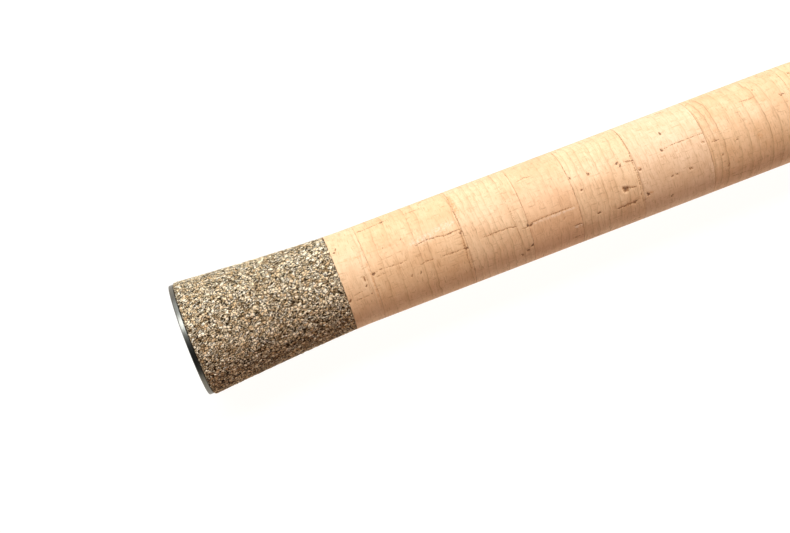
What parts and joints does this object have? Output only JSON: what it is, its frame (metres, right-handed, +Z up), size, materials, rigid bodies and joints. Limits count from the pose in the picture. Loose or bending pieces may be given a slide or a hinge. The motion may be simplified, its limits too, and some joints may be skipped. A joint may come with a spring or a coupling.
{
  "type": "feeder rod",
  "caption": "Two-section feeder rod with cork handle, flared burl butt, screw reel seat, ringed guides and a push-in quiver tip.",
  "frame": {"origin": "centre of the outer face of the metal butt plate", "axes": "+X along the rod's axis from the butt to the tip, -Y towards the guides and the reel seat's saddle, +Z up as the rod lies"},
  "size_m": [2.7452, 0.0523, 0.032],
  "materials": {
    "butt_metal": "polished",
    "burl_cork": "matt, granular",
    "natural_cork": "matt, sanded",
    "trim_metal": "anodised satin",
    "seat_nylon": "satin",
    "liner_plastic": "satin",
    "arbor_foam": "matt",
    "carbon": "clear lacquer",
    "thread": "lacquered thread",
    "guide_steel": "dark plated",
    "guide_ceramic": "polished",
    "tip_paint": "lacquered paint"
  },
  "bodies": {
    "handle": {"butt_plate": "butt_metal", "burl_butt": "burl_cork", "rear_shive_1": "natural_cork", "rear_shive_2": "natural_cork", "rear_shive_3": "natural_cork", "rear_shive_4": "natural_cork", "rear_shive_5": "natural_cork", "rear_shive_6": "natural_cork", "rear_shive_7": "natural_cork", "rear_shive_8": "natural_cork", "rear_trim_ring": "trim_metal", "seat_arbor_1": "arbor_foam", "seat_arbor_2": "arbor_foam", "seat_body": "seat_nylon", "fixed_hood": "trim_metal", "fixed_hood_liner": "liner_plastic", "front_trim_ring": "trim_metal", "fore_shive_1": "natural_cork", "fore_shive_2": "natural_cork", "fore_shive_3": "natural_cork", "fore_burl_ring": "burl_cork", "winding_check": "trim_metal", "butt_blank": "carbon", "hook_keeper": "guide_steel", "keeper_whipping_1": "thread", "keeper_whipping_2": "thread", "guide_1_frame": "guide_steel", "guide_1_ring": "guide_ceramic", "guide_1_whipping_a": "thread", "guide_1_whipping_b": "thread", "guide_2_frame": "guide_steel", "guide_2_ring": "guide_ceramic", "guide_2_whipping_a": "thread", "guide_2_whipping_b": "thread"},
    "hood": {"sliding_hood": "trim_metal", "sliding_hood_liner": "liner_plastic"},
    "nut": {"lock_nut": "trim_metal"},
    "tip_section": {"tip_blank": "carbon", "ferrule_whipping": "thread", "guide_3_frame": "guide_steel", "guide_3_ring": "guide_ceramic", "guide_3_whipping_a": "thread", "guide_3_whipping_b": "thread", "guide_4_frame": "guide_steel", "guide_4_ring": "guide_ceramic", "guide_4_whipping": "thread", "guide_5_frame": "guide_steel", "guide_5_ring": "guide_ceramic", "guide_5_whipping": "thread", "guide_6_frame": "guide_steel", "guide_6_ring": "guide_ceramic", "guide_6_whipping": "thread"},
    "quiver": {"quiver_tip": "tip_paint", "quiver_guide_1": "guide_steel", "quiver_guide_2": "guide_steel", "quiver_guide_3": "guide_steel", "quiver_guide_4": "guide_steel", "tip_top": "guide_steel"}
  },
  "joints": [
    {"name": "tip_pull", "type": "slide", "parent": "handle", "child": "tip_section", "axis": [1, 0, 0], "range_m": [0, 0.075]},
    {"name": "quiver_pull", "type": "slide", "parent": "tip_section", "child": "quiver", "axis": [1, 0, 0], "range_m": [0, 0.06]},
    {"name": "hood_slide", "type": "slide", "parent": "handle", "child": "hood", "axis": [-1, 0, 0], "range_m": [0, 0.034]},
    {"name": "nut_turn", "type": "hinge", "parent": "hood", "child": "nut", "pos_m": [0.3133, 0, 0], "axis": [-1, 0, 0], "range_deg": [0, 6120]}
  ],
  "couplings": [
    {"joint": "nut_turn", "follows": "hood_slide", "rad_per_m": 3141.6}
  ]
}
